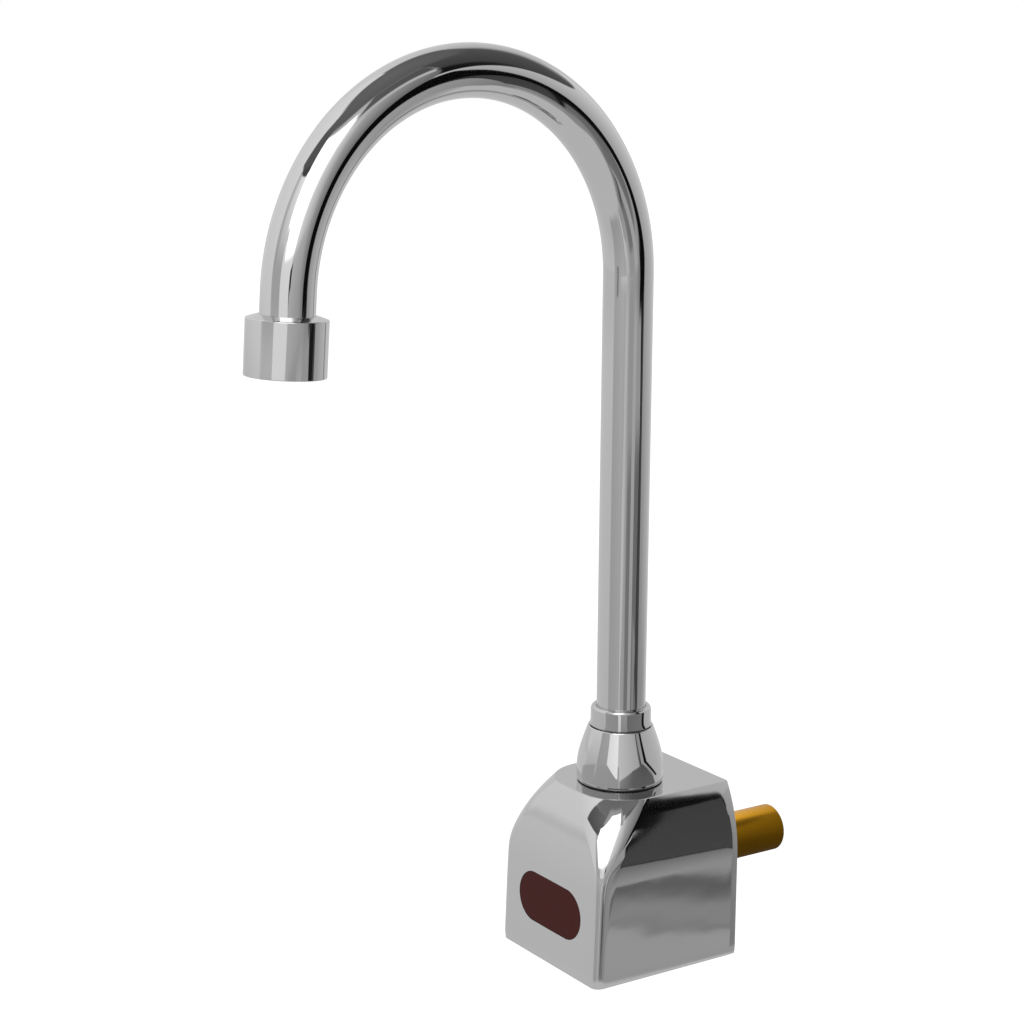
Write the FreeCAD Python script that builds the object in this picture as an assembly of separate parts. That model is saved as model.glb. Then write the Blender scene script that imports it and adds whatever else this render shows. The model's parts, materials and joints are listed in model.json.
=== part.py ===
import FreeCAD, Part
import math
import os

# A wall tap with a sensor in its body and a swivel gooseneck.
# Millimetres. +Z is up, +Y points into the wall, and the wall is the plane Y = 0.
# The origin is on the axis of the inlet shank, where it meets the wall.

V = FreeCAD.Vector

# ---- body casting ----
bodyHeight = 69.4
bodyHalfWidth = 32.4          # at the bottom, where the sides are upright
topHalfWidth = 24.8           # at the top, where the sides have curved in
sideCurveStart = 40.4         # height above the bottom where the sides start to curve
riserFromWall = 34.0          # spout axis to the wall
frontReach = 33.6             # spout axis to the front face, at the bottom
frontLean = 0.035             # how far the front goes back for each millimetre up
frontCurveStart = 36.8        # height above the bottom where the front starts to curve
topFrontReach = 23.0          # spout axis to the front edge of the flat top
cornerRadius = 3.2            # upright front corners, low down
topCornerRadius = 18.8        # the same corners at the top
cornerGrowStart = 44.8        # height above the bottom where the corners start to open
cornerGrowPower = 1.28
formSteps = 12                # sections between the straight part and the top
wall = 3.0
shankHeight = 34.4            # shank axis above the bottom of the body

# ---- inlet shank and waterway ----
shankRadius = 9.4
shankLength = 43.4            # what stands out behind the wall plane
shankEndChamfer = 0.5
shankCollarStep = 0.8         # the collar passes through the back plate and the gasket
shankFlangeStep = 3.8
shankFlangeThickness = 3.0
waterwayRadius = 6.5
spigotWall = 2.5              # the threaded ends that go into the elbow
spigotLength = 10.0
elbowWall = 3.45
sealThickness = 1.0
threadGap = 0.05

# ---- back of the body ----
gasketThickness = 1.6
backPlateThickness = 3.0
backPlateGap = 0.2            # all round, inside the casting
passGap = 0.1                 # round the shank collar
bossRadius = 4.6
bossLength = 9.0
plateRim = 0.6                # left between a screw head's seat and the plate's edge
backScrewRadius = 1.5
backScrewHeadRadius = 3.0
backScrewHeadHeight = 1.6
backScrewLength = 9.0
upperBossHeight = 51.0        # above the bottom of the body
grommetDrop = 20.0            # cable outlet below the shank axis
cableHoleRadius = 3.2
grommetNeckRadius = 4.9
grommetFlangeRadius = 5.8
grommetInnerFlange = 1.2
grommetGap = 0.1

# ---- spout adapter, nut and swivel ----
adapterFlangeStep = 3.1
adapterFlangeThickness = 4.0
adapterNeckStep = 0.5
adapterWall = 2.7             # round the bore, under the nut's thread
adapterTop = 14.0             # above the top of the body
adapterBoreDepth = 16.0
topHoleGap = 0.1
baseWasherThickness = 0.4
baseWasherInset = 0.45        # how far the washer stays inside the nut's rim
nutHeight = 21.9
nutTopLedge = 0.9             # from the collar's side out to the nut's top edge
nutShoulderFlare = 1.85       # part of the way down the bell, past the top edge
nutShoulderDrop = 5.2
nutBellyFlare = 4.3
nutBellyDrop = 16.0
nutBaseFlare = 4.1
nutLipThickness = 3.0
nutThreadGap = 0.1
chamberGap = 0.3
seamGap = 0.4                 # between the nut and the sleeve's collar
neckWall = 1.355              # round the tube's socket
runningGap = 0.1
sleeveSpigotStep = 0.3
sleeveSpigotEndGap = 1.5
sleeveFlangeStep = 1.3
thrustWasherThickness = 1.0
slipWasherThickness = 0.8
slipWasherGap = 0.1
collarWall = 2.225            # round the tube
collarFootFlare = 0.45
collarFootHeight = 1.6
collarHeight = 7.5
collarChamfer = 0.6
sleeveBoreRadius = 7.0
ringSectionRadius = 0.65
ringGrooveWidth = 1.9
ringGap = 0.05
ringHeights = (5.0, 11.0)     # above the lower end of the spigot

# ---- gooseneck ----
tubeRadius = 9.525            # 3/4 inch tube
tubeWall = 1.25
archRadius = 76.2             # half of the 6 inch spread
archHeight = 266.8            # arch centre above the bottom of the body
archSweep = 176.3             # degrees
outletStraight = 9.0
spoutSwing = 5.6              # degrees from straight ahead, towards +X, as it stands at rest
tubeSocketDepth = 14.0
tubeFit = 0.02

# ---- outlet ----
outletRadius = 14.2
outletLength = 19.5
outletShoulder = 1.2          # height of the sloping shoulder round the tube
outletShoulderWall = 1.075    # round the tube, at the top of the shoulder
outletTubeDepth = 7.0         # how far the tube goes into the fitting
outletTubeStop = 1.525        # the throat is narrower than the tube by this much
outletWall = 2.0
aeratorLength = 10.6
aeratorRecess = 0.3
aeratorWall = 1.3
aeratorLip = 1.0
aeratorThreadGap = 0.1
insertThickness = 3.2
insertHoleRadius = 0.7
insertRings = ((3.4, 6), (6.4, 12), (9.2, 18))
screenThickness = 0.5
screenBar = 0.45
screenPitch = 1.5
regulatorThickness = 2.2
regulatorHoleRadius = 2.2
aeratorWasherThickness = 1.6
aeratorWasherHole = 7.5
insertGap = 0.1

# ---- sensor ----
windowLength = 41.6
windowHeight = 20.0
windowCentre = 23.8           # above the bottom of the body
windowGap = 0.15
lensFlange = 1.9              # the flange stands out by this much all round
lensFlangeThickness = 1.5
windowGasketThickness = 1.0
sensorWall = 1.6
sensorDepth = 12.0
sensorFlangeGap = 0.25
boardThickness = 1.6
boardGap = 0.5
eyeRadius = 2.5
eyeLength = 5.0
eyeSpread = 11.0
lightRadius = 1.5
lightLength = 3.4
bracketThickness = 1.2
bracketHeight = 25.0
bracketEndGap = 0.4           # to the inside of the casting's side walls
sensorBossRadius = 2.4
sensorBossRise = 9.0          # one boss is above the sensor's middle and one below
bracketHeadGap = 0.6          # from a screw's head to the casting's side wall
bracketScrewRadius = 1.1
bracketScrewHeadRadius = 2.1
bracketScrewHeadHeight = 1.5
bracketScrewLength = 7.0
screwFit = 0.12

# ---- radii that fit round one another, from the waterway and the tube outwards ----
shankCollarRadius = shankRadius + shankCollarStep
shankFlangeRadius = shankCollarRadius + shankFlangeStep
spigotRadius = waterwayRadius + spigotWall
elbowRadius = spigotRadius + threadGap + elbowWall
neckRadius = tubeRadius + tubeFit + neckWall
sleeveSpigotRadius = neckRadius - sleeveSpigotStep
sleeveFlangeRadius = neckRadius + sleeveFlangeStep
collarRadius = tubeRadius + collarWall
collarFootRadius = collarRadius + collarFootFlare
adapterBoreRadius = sleeveSpigotRadius + runningGap
adapterThreadRadius = adapterBoreRadius + adapterWall
adapterNeckRadius = adapterThreadRadius + adapterNeckStep
adapterFlangeRadius = adapterNeckRadius + adapterFlangeStep
ringCentreRadius = adapterBoreRadius - ringGap - ringSectionRadius
nutTopRadius = collarRadius + nutTopLedge
nutShoulderRadius = nutTopRadius + nutShoulderFlare
nutBellyRadius = nutTopRadius + nutBellyFlare
nutBaseRadius = nutTopRadius + nutBaseFlare
outletShoulderRadius = tubeRadius + outletShoulderWall
outletThroatRadius = tubeRadius - outletTubeStop
aeratorRadius = outletRadius - outletWall

# ---- places worked out from the sizes above ----
bottomZ = -shankHeight
topZ = bottomZ + bodyHeight
riser = V(0, -riserFromWall, 0)
nutBaseZ = topZ + baseWasherThickness
nutTopZ = nutBaseZ + nutHeight
collarZ = nutTopZ + seamGap
collarTopZ = collarZ + collarHeight
archZ = bottomZ + archHeight
adapterTopZ = topZ + adapterTop
backPlateY = -gasketThickness - backPlateThickness
shankFlangeY = backPlateY - shankFlangeThickness
elbowMouthY = shankFlangeY - sealThickness
adapterFlangeZ = topZ - wall - adapterFlangeThickness
elbowTopZ = adapterFlangeZ - sealThickness


def save(name, shape):
    """Write one named piece and say what it is."""
    shape.exportStep("parts/%s.step" % name)
    kind = "valid" if shape.isValid() else "NOT VALID"
    print("%-20s %2d solid(s) %10.1f mm3 %s" % (name, len(shape.Solids), shape.Volume, kind))


def cylinder(radius, base, direction, length):
    return Part.makeCylinder(radius, length, base, direction)


def upright(radius, low, high, centre=riser):
    return cylinder(radius, V(centre.x, centre.y, low), V(0, 0, 1), high - low)


def along(radius, front, back, x=0.0, z=0.0):
    return cylinder(radius, V(x, front, z), V(0, 1, 0), back - front)


def turned(outline, centre=riser):
    """Revolve a closed outline of (radius, height) points about the upright axis."""
    points = [V(centre.x + r, centre.y, z) for r, z in outline]
    face = Part.Face(Part.makePolygon(points + points[:1]))
    return face.revolve(V(centre.x, centre.y, 0), V(0, 0, 1), 360)


def group(solids):
    return Part.makeCompound(solids) if len(solids) > 1 else solids[0]


# ---- body casting ----
sideDrop = bodyHalfWidth - topHalfWidth
sideRise = bodyHeight - sideCurveStart
sideArc = (sideRise ** 2 + sideDrop ** 2) / (2 * sideDrop)
frontDrop = frontReach - frontLean * bodyHeight - topFrontReach
frontRise = bodyHeight - frontCurveStart
frontArc = (frontRise ** 2 + frontDrop ** 2) / (2 * frontDrop)


def halfWidth(height, inset):
    """Half the body's width at a height above its bottom, less a wall."""
    rise = max(height - sideCurveStart, 0)
    return bodyHalfWidth - sideArc + math.sqrt((sideArc - inset) ** 2 - rise ** 2)


def reach(height, inset):
    """How far the body goes in front of the spout axis, less a wall."""
    rise = max(height - frontCurveStart, 0)
    curve = frontArc - math.sqrt(frontArc ** 2 - rise ** 2)
    return frontReach - frontLean * height - curve - inset


def corner(height, inset):
    grown = max(height - cornerGrowStart, 0) / (bodyHeight - cornerGrowStart)
    radius = cornerRadius + (topCornerRadius - cornerRadius) * grown ** cornerGrowPower
    return max(radius - inset, cornerRadius / 2)


def bodySection(height, inset, backY):
    """The body's outline at one height: a rectangle with two round front corners."""
    half = halfWidth(height, inset)
    front = -riserFromWall - reach(height, inset)
    r = corner(height, inset)
    z = bottomZ + height
    diagonal = r * (1 - math.sqrt(0.5))
    right, left = V(half, front + r, z), V(-half, front + r, z)
    rightFront, leftFront = V(half - r, front, z), V(r - half, front, z)
    edges = [
        Part.makeLine(V(-half, backY, z), V(half, backY, z)),
        Part.makeLine(V(half, backY, z), right),
        Part.Arc(right, V(half - diagonal, front + diagonal, z), rightFront).toShape(),
        Part.makeLine(rightFront, leftFront),
        Part.Arc(leftFront, V(diagonal - half, front + diagonal, z), left).toShape(),
        Part.makeLine(left, V(-half, backY, z)),
    ]
    return Part.Wire(edges)


def bodyForm(inset, low, high, backY):
    """The body's outer form, or its cavity when it is inset by the wall."""
    def loft(heights, ruled):
        return Part.makeLoft([bodySection(h, inset, backY) for h in heights], True, ruled)

    rise = high - frontCurveStart
    straight = loft((low, frontCurveStart), True)
    curved = loft([frontCurveStart + rise * i / formSteps for i in range(formSteps + 1)], False)
    return straight.fuse(curved).removeSplitter()


def backProfile(inset, frontY, backY):
    """A slab across the back of the body, inset all round from its outline."""
    rise = sideRise - inset
    reachIn = halfWidth(bodyHeight - inset, inset)
    middle = math.asin(rise / (sideArc - inset)) / 2
    centreX = bodyHalfWidth - sideArc
    bend = bottomZ + sideCurveStart
    edge = bodyHalfWidth - inset
    low, high = bottomZ + inset, topZ - inset
    across = centreX + (sideArc - inset) * math.cos(middle)
    up = bend + (sideArc - inset) * math.sin(middle)
    edges = [
        Part.makeLine(V(-edge, frontY, low), V(edge, frontY, low)),
        Part.makeLine(V(edge, frontY, low), V(edge, frontY, bend)),
        Part.Arc(V(edge, frontY, bend), V(across, frontY, up), V(reachIn, frontY, high)).toShape(),
        Part.makeLine(V(reachIn, frontY, high), V(-reachIn, frontY, high)),
        Part.Arc(V(-reachIn, frontY, high), V(-across, frontY, up), V(-edge, frontY, bend)).toShape(),
        Part.makeLine(V(-edge, frontY, bend), V(-edge, frontY, low)),
    ]
    return Part.Face(Part.Wire(edges)).extrude(V(0, backY - frontY, 0))


def backBosses():
    """Centres of the four screw bosses behind the back plate, as (x, z)."""
    out = backPlateGap + plateRim + passGap + backScrewHeadRadius
    lowX = bodyHalfWidth - wall - out
    highX = halfWidth(upperBossHeight, wall) - out
    lowZ = bottomZ + wall + out
    return [(s * x, z) for x, z in ((lowX, lowZ), (highX, bottomZ + upperBossHeight)) for s in (-1, 1)]


# ---- the sensor's own frame: x across, y inwards from the front face, z up the leaning face ----
leanAngle = math.degrees(math.atan(frontLean))
windowPlace = V(0, -riserFromWall - frontReach + frontLean * windowCentre, bottomZ + windowCentre)


def lean(shape):
    """Move a piece from the sensor's own frame to its place behind the front face."""
    placed = shape.copy()
    placed.rotate(V(0, 0, 0), V(1, 0, 0), -leanAngle)
    placed.translate(windowPlace)
    return placed


def slot(length, height, depth, thickness):
    """A plate with round ends, square to the sensor's own y axis."""
    r = height / 2
    x = length / 2 - r
    edges = [
        Part.makeLine(V(-x, depth, -r), V(x, depth, -r)),
        Part.Arc(V(x, depth, -r), V(x + r, depth, 0), V(x, depth, r)).toShape(),
        Part.makeLine(V(x, depth, r), V(-x, depth, r)),
        Part.Arc(V(-x, depth, r), V(-x - r, depth, 0), V(-x, depth, -r)).toShape(),
    ]
    return Part.Face(Part.Wire(edges)).extrude(V(0, thickness, 0))


frontWall = wall * math.cos(math.radians(leanAngle))
flangeLength = windowLength + 2 * lensFlange
flangeHeight = windowHeight + 2 * lensFlange
housingLength = flangeLength + 2 * (sensorFlangeGap + sensorWall)
housingHeight = flangeHeight + 2 * (sensorFlangeGap + sensorWall)
housingBack = frontWall + sensorDepth
boardFront = housingBack - sensorWall - boardThickness
sensorBossX = halfWidth(windowCentre, wall) - bracketHeadGap - bracketScrewHeadRadius
sensorBosses = [(side * sensorBossX, side * sensorBossRise) for side in (-1, 1)]


def bodyShell():
    shell = bodyForm(0, 0, bodyHeight, 0)
    shell = shell.cut(bodyForm(wall, wall, bodyHeight - wall, wall))
    shell = shell.cut(upright(adapterNeckRadius + topHoleGap, topZ - 2 * wall, topZ + wall))
    shell = shell.cut(lean(slot(windowLength, windowHeight, -wall, 3 * wall)))
    for x, z in backBosses():
        boss = along(bossRadius, backPlateY - bossLength, backPlateY, x, z)
        shell = shell.fuse(boss.common(bodyForm(wall / 2, wall / 2, bodyHeight - wall / 2, 0)))
        hole = along(backScrewRadius + screwFit, backPlateY - bossLength - 1, 0, x, z)
        shell = shell.cut(hole)
    for x, z in sensorBosses:
        start = V(x, frontWall - wall / 2, z)
        boss = cylinder(sensorBossRadius, start, V(0, 1, 0), housingBack - start.y)
        shell = shell.fuse(lean(boss))
        tip = V(x, housingBack - bracketScrewLength, z)
        hole = cylinder(bracketScrewRadius + screwFit, tip, V(0, 1, 0), bracketScrewLength + 1)
        shell = shell.cut(lean(hole))
    return shell.removeSplitter()


def backPlate():
    plate = backProfile(wall + backPlateGap, backPlateY, -gasketThickness)
    plate = plate.cut(along(shankCollarRadius + passGap, backPlateY - 1, 0))
    plate = plate.cut(along(grommetNeckRadius + grommetGap, backPlateY - 1, 0, 0, -grommetDrop))
    for x, z in backBosses():
        plate = plate.cut(along(backScrewRadius + passGap, backPlateY - 1, 0, x, z))
        headY = -gasketThickness - backScrewHeadHeight
        plate = plate.cut(along(backScrewHeadRadius + passGap, headY, 0, x, z))
    return plate


def backPlateScrews():
    screws = []
    headY = -gasketThickness - backScrewHeadHeight
    for x, z in backBosses():
        head = along(backScrewHeadRadius, headY, -gasketThickness, x, z)
        head = head.cut(Part.makeBox(4.0, 0.8, 0.8, V(x - 2.0, -gasketThickness - 0.8, z - 0.4)))
        head = head.cut(Part.makeBox(0.8, 0.8, 4.0, V(x - 0.4, -gasketThickness - 0.8, z - 2.0)))
        screws.append(head.fuse(along(backScrewRadius, headY - backScrewLength, headY, x, z)))
    return group(screws)


def wallGasket():
    sheet = backProfile(wall + backPlateGap, -gasketThickness, 0)
    sheet = sheet.cut(along(shankCollarRadius + passGap, -gasketThickness - 1, 1))
    return sheet.cut(along(grommetFlangeRadius + grommetGap, -gasketThickness - 1, 1, 0, -grommetDrop))


def cableGrommet():
    body = along(grommetNeckRadius, backPlateY, -gasketThickness, 0, -grommetDrop)
    body = body.fuse(along(grommetFlangeRadius, -gasketThickness, 0, 0, -grommetDrop))
    innerY = backPlateY - grommetInnerFlange
    body = body.fuse(along(grommetFlangeRadius, innerY, backPlateY, 0, -grommetDrop))
    return body.cut(along(cableHoleRadius, innerY - 1, 1, 0, -grommetDrop)).removeSplitter()


def inletShank():
    tail = along(shankRadius, 0, shankLength)
    rim = [e for e in tail.Edges if abs(e.CenterOfMass.y - shankLength) < 0.01 and len(e.Vertexes) == 1]
    tail = tail.makeChamfer(shankEndChamfer, rim)
    shank = tail.fuse(along(shankCollarRadius, backPlateY, 0))
    shank = shank.fuse(along(shankFlangeRadius, shankFlangeY, backPlateY))
    shank = shank.fuse(along(spigotRadius, shankFlangeY - spigotLength, shankFlangeY))
    return shank.cut(along(waterwayRadius, shankFlangeY - spigotLength - 1, shankLength + 1)).removeSplitter()


def shankSeal():
    ring = along(elbowRadius, elbowMouthY, shankFlangeY)
    return ring.cut(along(spigotRadius + threadGap, elbowMouthY - 1, shankFlangeY + 1))


def waterwayElbow():
    level = along(elbowRadius, -riserFromWall, elbowMouthY)
    stem = upright(elbowRadius, 0, elbowTopZ)
    knee = Part.makeSphere(elbowRadius, riser)
    elbow = level.fuse(stem).fuse(knee)
    elbow = elbow.cut(along(waterwayRadius, -riserFromWall, elbowMouthY + 1))
    elbow = elbow.cut(upright(waterwayRadius, 0, elbowTopZ + 1))
    elbow = elbow.cut(Part.makeSphere(waterwayRadius, riser))
    socket = spigotRadius + threadGap
    depth = spigotLength - sealThickness + 0.5
    elbow = elbow.cut(along(socket, elbowMouthY - depth, elbowMouthY + 1))
    return elbow.cut(upright(socket, elbowTopZ - depth, elbowTopZ + 1)).removeSplitter()


def adapterSeal():
    ring = upright(elbowRadius, elbowTopZ, adapterFlangeZ)
    return ring.cut(upright(spigotRadius + threadGap, elbowTopZ - 1, adapterFlangeZ + 1))


def spoutAdapter():
    adapter = upright(adapterThreadRadius, topZ, adapterTopZ)
    adapter = adapter.fuse(upright(adapterNeckRadius, topZ - wall, topZ))
    adapter = adapter.fuse(upright(adapterFlangeRadius, adapterFlangeZ, topZ - wall))
    adapter = adapter.fuse(upright(spigotRadius, adapterFlangeZ - spigotLength, adapterFlangeZ))
    adapter = adapter.cut(upright(adapterBoreRadius, adapterTopZ - adapterBoreDepth, adapterTopZ + 1))
    low = adapterFlangeZ - spigotLength - 1
    return adapter.cut(upright(waterwayRadius, low, adapterTopZ)).removeSplitter()


def baseWasher():
    ring = upright(nutBaseRadius - baseWasherInset, topZ, nutBaseZ)
    return ring.cut(upright(adapterNeckRadius + topHoleGap, topZ - 1, nutBaseZ + 1))


nutThreadRadius = adapterThreadRadius + nutThreadGap
chamberRadius = sleeveFlangeRadius + chamberGap
lipZ = nutTopZ - nutLipThickness
thrustTopZ = adapterTopZ + thrustWasherThickness
sleeveFlangeZ = thrustTopZ + chamberGap
slipTopZ = lipZ - slipWasherGap
sleeveFlangeTopZ = slipTopZ - slipWasherThickness
spigotFootZ = adapterTopZ - adapterBoreDepth + sleeveSpigotEndGap


def bellNut():
    """A smooth bell, turned from a spline for the outside and plain steps for the inside."""
    outside = Part.BSplineCurve()
    waist = [
        V(nutTopRadius, -riserFromWall, nutTopZ),
        V(nutShoulderRadius, -riserFromWall, nutTopZ - nutShoulderDrop),
        V(nutBellyRadius, -riserFromWall, nutTopZ - nutBellyDrop),
        V(nutBaseRadius, -riserFromWall, nutBaseZ),
    ]
    outside.interpolate(waist)
    inside = [
        V(nutBaseRadius, -riserFromWall, nutBaseZ),
        V(nutThreadRadius, -riserFromWall, nutBaseZ),
        V(nutThreadRadius, -riserFromWall, adapterTopZ + chamberGap),
        V(chamberRadius, -riserFromWall, adapterTopZ + chamberGap),
        V(chamberRadius, -riserFromWall, lipZ),
        V(neckRadius + runningGap, -riserFromWall, lipZ),
        V(neckRadius + runningGap, -riserFromWall, nutTopZ),
        V(nutTopRadius, -riserFromWall, nutTopZ),
    ]
    outline = Part.Wire([outside.toShape()] + Part.makePolygon(inside).Edges)
    return Part.Face(outline).revolve(V(0, -riserFromWall, 0), V(0, 0, 1), 360)


def thrustWasher():
    ring = upright(sleeveFlangeRadius, adapterTopZ, thrustTopZ)
    return ring.cut(upright(sleeveSpigotRadius + runningGap, adapterTopZ - 1, thrustTopZ + 1))


def swivelSleeve():
    """Collar, neck, flange and spigot in one turning, with the tube's socket in its top."""
    socket = tubeRadius + tubeFit
    socketZ = collarTopZ - tubeSocketDepth
    outline = [
        (sleeveBoreRadius, spigotFootZ),
        (sleeveSpigotRadius, spigotFootZ),
        (sleeveSpigotRadius, sleeveFlangeZ),
        (sleeveFlangeRadius, sleeveFlangeZ),
        (sleeveFlangeRadius, sleeveFlangeTopZ),
        (neckRadius, sleeveFlangeTopZ),
        (neckRadius, collarZ),
        (collarFootRadius, collarZ),
        (collarRadius, collarZ + collarFootHeight),
        (collarRadius, collarTopZ - collarChamfer),
        (collarRadius - collarChamfer, collarTopZ),
        (socket, collarTopZ),
        (socket, socketZ),
        (sleeveBoreRadius, socketZ),
    ]
    sleeve = turned(outline)
    groove = ringCentreRadius - ringSectionRadius - ringGap
    for height in ringHeights:
        z = spigotFootZ + height
        cutter = upright(sleeveSpigotRadius + 1, z - ringGrooveWidth / 2, z + ringGrooveWidth / 2)
        sleeve = sleeve.cut(cutter.cut(upright(groove, z - ringGrooveWidth, z + ringGrooveWidth)))
    return sleeve


def sleeveORings():
    return group([
        Part.makeTorus(ringCentreRadius, ringSectionRadius, V(0, -riserFromWall, spigotFootZ + height))
        for height in ringHeights
    ])


def slipWasher():
    ring = upright(sleeveFlangeRadius, sleeveFlangeTopZ, slipTopZ)
    return ring.cut(upright(neckRadius + runningGap, sleeveFlangeTopZ - 1, slipTopZ + 1))


# ---- gooseneck: built in the plane straight ahead, then swung with everything that it carries ----
archCentre = V(0, -riserFromWall - archRadius, archZ)
sweep = math.radians(archSweep)
archEnd = V(0, archCentre.y + archRadius * math.cos(sweep), archZ + archRadius * math.sin(sweep))
outletDirection = V(0, -math.sin(sweep), math.cos(sweep))
outletStart = archEnd + outletDirection * outletStraight
tubeFootZ = collarTopZ - tubeSocketDepth


def swing(shape):
    turnedShape = shape.copy()
    turnedShape.rotate(riser, V(0, 0, 1), spoutSwing)
    return turnedShape


def gooseneckPath(tail):
    """Riser, arch and the short straight run into the outlet."""
    top = V(0, -riserFromWall, archZ)
    crown = V(0, archCentre.y + archRadius * math.cos(sweep / 2), archZ + archRadius * math.sin(sweep / 2))
    return Part.Wire([
        Part.makeLine(V(0, -riserFromWall, tubeFootZ), top),
        Part.Arc(top, crown, archEnd).toShape(),
        Part.makeLine(archEnd, outletStart + outletDirection * tail),
    ])


def spoutTube():
    foot = V(0, -riserFromWall, tubeFootZ)
    rings = [Part.Wire(Part.makeCircle(r, foot, V(0, 0, 1))) for r in (tubeRadius, tubeRadius - tubeWall)]
    outer, inner = [gooseneckPath(outletTubeDepth).makePipeShell([ring], True, False) for ring in rings]
    return swing(outer.cut(inner))


def outletTurned(outline):
    """Revolve (radius, distance) points about the outlet's axis; distance runs down from the tube."""
    side = V(0, outletDirection.z, -outletDirection.y)
    points = [outletStart + outletDirection * s + side * r for r, s in outline]
    face = Part.Face(Part.makePolygon(points + points[:1]))
    return face.revolve(outletStart, outletDirection, 360)


aeratorFoot = outletLength - aeratorRecess
aeratorHead = aeratorFoot - aeratorLength
insideRadius = aeratorRadius - aeratorWall
screenAt = aeratorFoot - aeratorLip - screenThickness
insertAt = screenAt - insertThickness
regulatorAt = insertAt - regulatorThickness
washerAt = aeratorHead - aeratorWasherThickness


def outletFitting():
    """The plain cylinder: a socket for the tube above, and a threaded mouth for the aerator below."""
    socket = tubeRadius + tubeFit
    mouth = aeratorRadius + aeratorThreadGap
    outline = [
        (socket, -outletShoulder),
        (outletShoulderRadius, -outletShoulder),
        (outletRadius, 0),
        (outletRadius, outletLength),
        (mouth, outletLength),
        (mouth, washerAt),
        (outletThroatRadius, washerAt),
        (outletThroatRadius, outletTubeDepth),
        (socket, outletTubeDepth),
    ]
    return swing(outletTurned(outline))


def aeratorHousing():
    outline = [
        (insideRadius, aeratorHead),
        (aeratorRadius, aeratorHead),
        (aeratorRadius, aeratorFoot),
        (insideRadius - aeratorLip, aeratorFoot),
        (insideRadius - aeratorLip, aeratorFoot - aeratorLip),
        (insideRadius, aeratorFoot - aeratorLip),
    ]
    return swing(outletTurned(outline))


def outletDisc(radius, start, thickness):
    return cylinder(radius, outletStart + outletDirection * start, outletDirection, thickness)


def aeratorWasher():
    ring = outletDisc(aeratorRadius - insertGap, washerAt, aeratorWasherThickness)
    return swing(ring.cut(outletDisc(aeratorWasherHole, washerAt - 1, aeratorWasherThickness + 2)))


def flowRegulator():
    disc = outletDisc(insideRadius - insertGap, regulatorAt, regulatorThickness)
    return swing(disc.cut(outletDisc(regulatorHoleRadius, regulatorAt - 1, regulatorThickness + 2)))


def aeratorInsert():
    disc = outletDisc(insideRadius - insertGap, insertAt, insertThickness)
    side = V(0, outletDirection.z, -outletDirection.y)
    across = V(1, 0, 0)
    holes = []
    for ringRadius, count in insertRings:
        for i in range(count):
            a = 2 * math.pi * i / count
            centre = outletStart + outletDirection * (insertAt - 1)
            centre = centre + side * (ringRadius * math.cos(a)) + across * (ringRadius * math.sin(a))
            holes.append(cylinder(insertHoleRadius, centre, outletDirection, insertThickness + 2))
    return swing(disc.cut(Part.makeCompound(holes)))


def aeratorScreen():
    """A square grid cut to a round disc."""
    disc = outletDisc(insideRadius - insertGap, screenAt, screenThickness)
    side = V(0, outletDirection.z, -outletDirection.y)
    across = V(1, 0, 0)
    hole = screenPitch - screenBar
    count = int((insideRadius - insertGap - screenBar) / screenPitch)
    cutters = []
    for i in range(-count, count + 1):
        for j in range(-count, count + 1):
            if math.hypot(abs(i) + 0.5, abs(j) + 0.5) * screenPitch > insideRadius - insertGap - screenBar:
                continue
            first = outletStart + outletDirection * (screenAt - 1)
            first = first + side * (i * screenPitch - hole / 2) + across * (j * screenPitch - hole / 2)
            second, last = first + side * hole, first + across * hole
            square = Part.makePolygon([first, second, second + across * hole, last, first])
            cutters.append(Part.Face(square).extrude(outletDirection * (screenThickness + 2)))
    return swing(disc.cut(Part.makeCompound(cutters)))


# ---- sensor pieces ----
def windowLens():
    front = slot(windowLength - 2 * windowGap, windowHeight - 2 * windowGap, 0,
                 frontWall + windowGasketThickness)
    back = slot(flangeLength, flangeHeight, frontWall + windowGasketThickness, lensFlangeThickness)
    return lean(front.fuse(back).removeSplitter())


def windowGasket():
    ring = slot(flangeLength, flangeHeight, frontWall, windowGasketThickness)
    return lean(ring.cut(slot(windowLength, windowHeight, frontWall - 1, windowGasketThickness + 2)))


def sensorHousing():
    outer = slot(housingLength, housingHeight, frontWall, sensorDepth)
    room = slot(housingLength - 2 * sensorWall, housingHeight - 2 * sensorWall, frontWall - 1,
                sensorDepth + 1 - sensorWall)
    return lean(outer.cut(room))


def sensorBoard():
    length = housingLength - 2 * (sensorWall + boardGap)
    height = housingHeight - 2 * (sensorWall + boardGap)
    return lean(slot(length, height, boardFront, boardThickness))


def eye(x, radius, length):
    """A round lamp or detector with a domed front, standing on the board."""
    stem = cylinder(radius, V(x, boardFront - length + radius, 0), V(0, 1, 0), length - radius)
    dome = Part.makeSphere(radius, V(x, boardFront - length + radius, 0))
    return lean(stem.fuse(dome).removeSplitter())


def sensorBracket():
    length = 2 * (halfWidth(windowCentre, wall) - bracketEndGap)
    strap = Part.makeBox(length, bracketThickness, bracketHeight,
                         V(-length / 2, housingBack, -bracketHeight / 2))
    for x, z in sensorBosses:
        start = V(x, housingBack - 1, z)
        strap = strap.cut(cylinder(bracketScrewRadius + passGap, start, V(0, 1, 0), bracketThickness + 2))
    return lean(strap)


def bracketScrews():
    screws = []
    under = housingBack + bracketThickness
    for x, z in sensorBosses:
        head = cylinder(bracketScrewHeadRadius, V(x, under, z), V(0, 1, 0), bracketScrewHeadHeight)
        tip = V(x, under - bracketScrewLength, z)
        screws.append(lean(head.fuse(cylinder(bracketScrewRadius, tip, V(0, 1, 0), bracketScrewLength))))
    return group(screws)


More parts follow.
